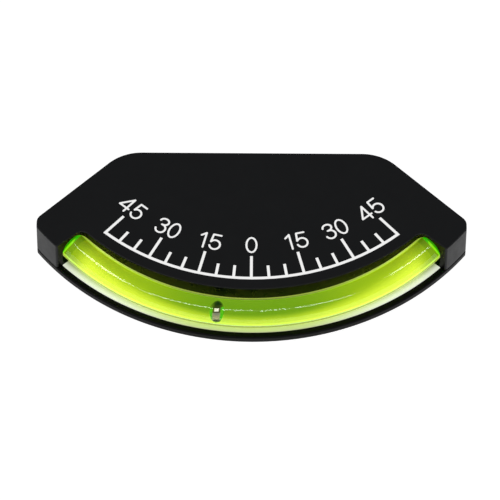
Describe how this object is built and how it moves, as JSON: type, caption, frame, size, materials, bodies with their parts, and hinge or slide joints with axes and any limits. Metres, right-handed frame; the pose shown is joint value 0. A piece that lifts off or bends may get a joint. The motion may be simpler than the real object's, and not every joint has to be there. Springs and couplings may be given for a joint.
{
  "type": "ball inclinometer",
  "caption": "Arc-shaped tilt gauge that reads roll: a steel ball in a bent, liquid filled yellow-green tube over a printed scale of degrees on a flat black housing.",
  "frame": {"origin": "under the middle of the footprint, on the table that the instrument lies on", "axes": "+X along the width, to the right when the dial is read; +Y up the dial, towards the straight top edge; +Z out of the face. The dial centre, which the opening and the scale are round, is on the Z line through X = 0, Y = 45.25 mm; the tube is bent round the Z line through X = 0, Y = 40.85 mm"},
  "size_m": [0.1174, 0.0556, 0.0126],
  "materials": {
    "housing_plastic": "satin black, finely grained",
    "plate_plastic": "satin black",
    "clear_plastic": "polished clear acrylic, seen yellow-green from the liquid in it",
    "stopper_rubber": "green, smooth",
    "ball_steel": "polished steel",
    "screw_steel": "zinc plated",
    "white_ink": "flat white pad printing",
    "foam_tape": "white closed cell foam",
    "liner_paper": "waxed release paper"
  },
  "bodies": {
    "instrument": {"front_housing": "housing_plastic", "back_plate": "plate_plastic", "vial_tube": "clear_plastic", "vial_plug_left": "stopper_rubber", "vial_plug_right": "stopper_rubber", "screw_end_left": "screw_steel", "screw_end_right": "screw_steel", "screw_top_left": "screw_steel", "screw_top_right": "screw_steel", "foam_pad_left": "foam_tape", "foam_pad_right": "foam_tape", "pad_liner_left": "liner_paper", "pad_liner_right": "liner_paper", "scale_print": "white_ink", "numeral_0": "white_ink", "numeral_left_15_figure_1": "white_ink", "numeral_left_15_figure_2": "white_ink", "numeral_left_30_figure_1": "white_ink", "numeral_left_30_figure_2": "white_ink", "numeral_left_45_figure_1": "white_ink", "numeral_left_45_figure_2": "white_ink", "numeral_right_15_figure_1": "white_ink", "numeral_right_15_figure_2": "white_ink", "numeral_right_30_figure_1": "white_ink", "numeral_right_30_figure_2": "white_ink", "numeral_right_45_figure_1": "white_ink", "numeral_right_45_figure_2": "white_ink"},
    "ball": {"ball": "ball_steel"}
  },
  "joints": [
    {"name": "ball_travel", "type": "hinge", "parent": "instrument", "child": "ball", "pos_m": [0, 0.04085, 0.00703], "axis": [0, 0, 1], "range_deg": [-39.6, 56.2]}
  ]
}
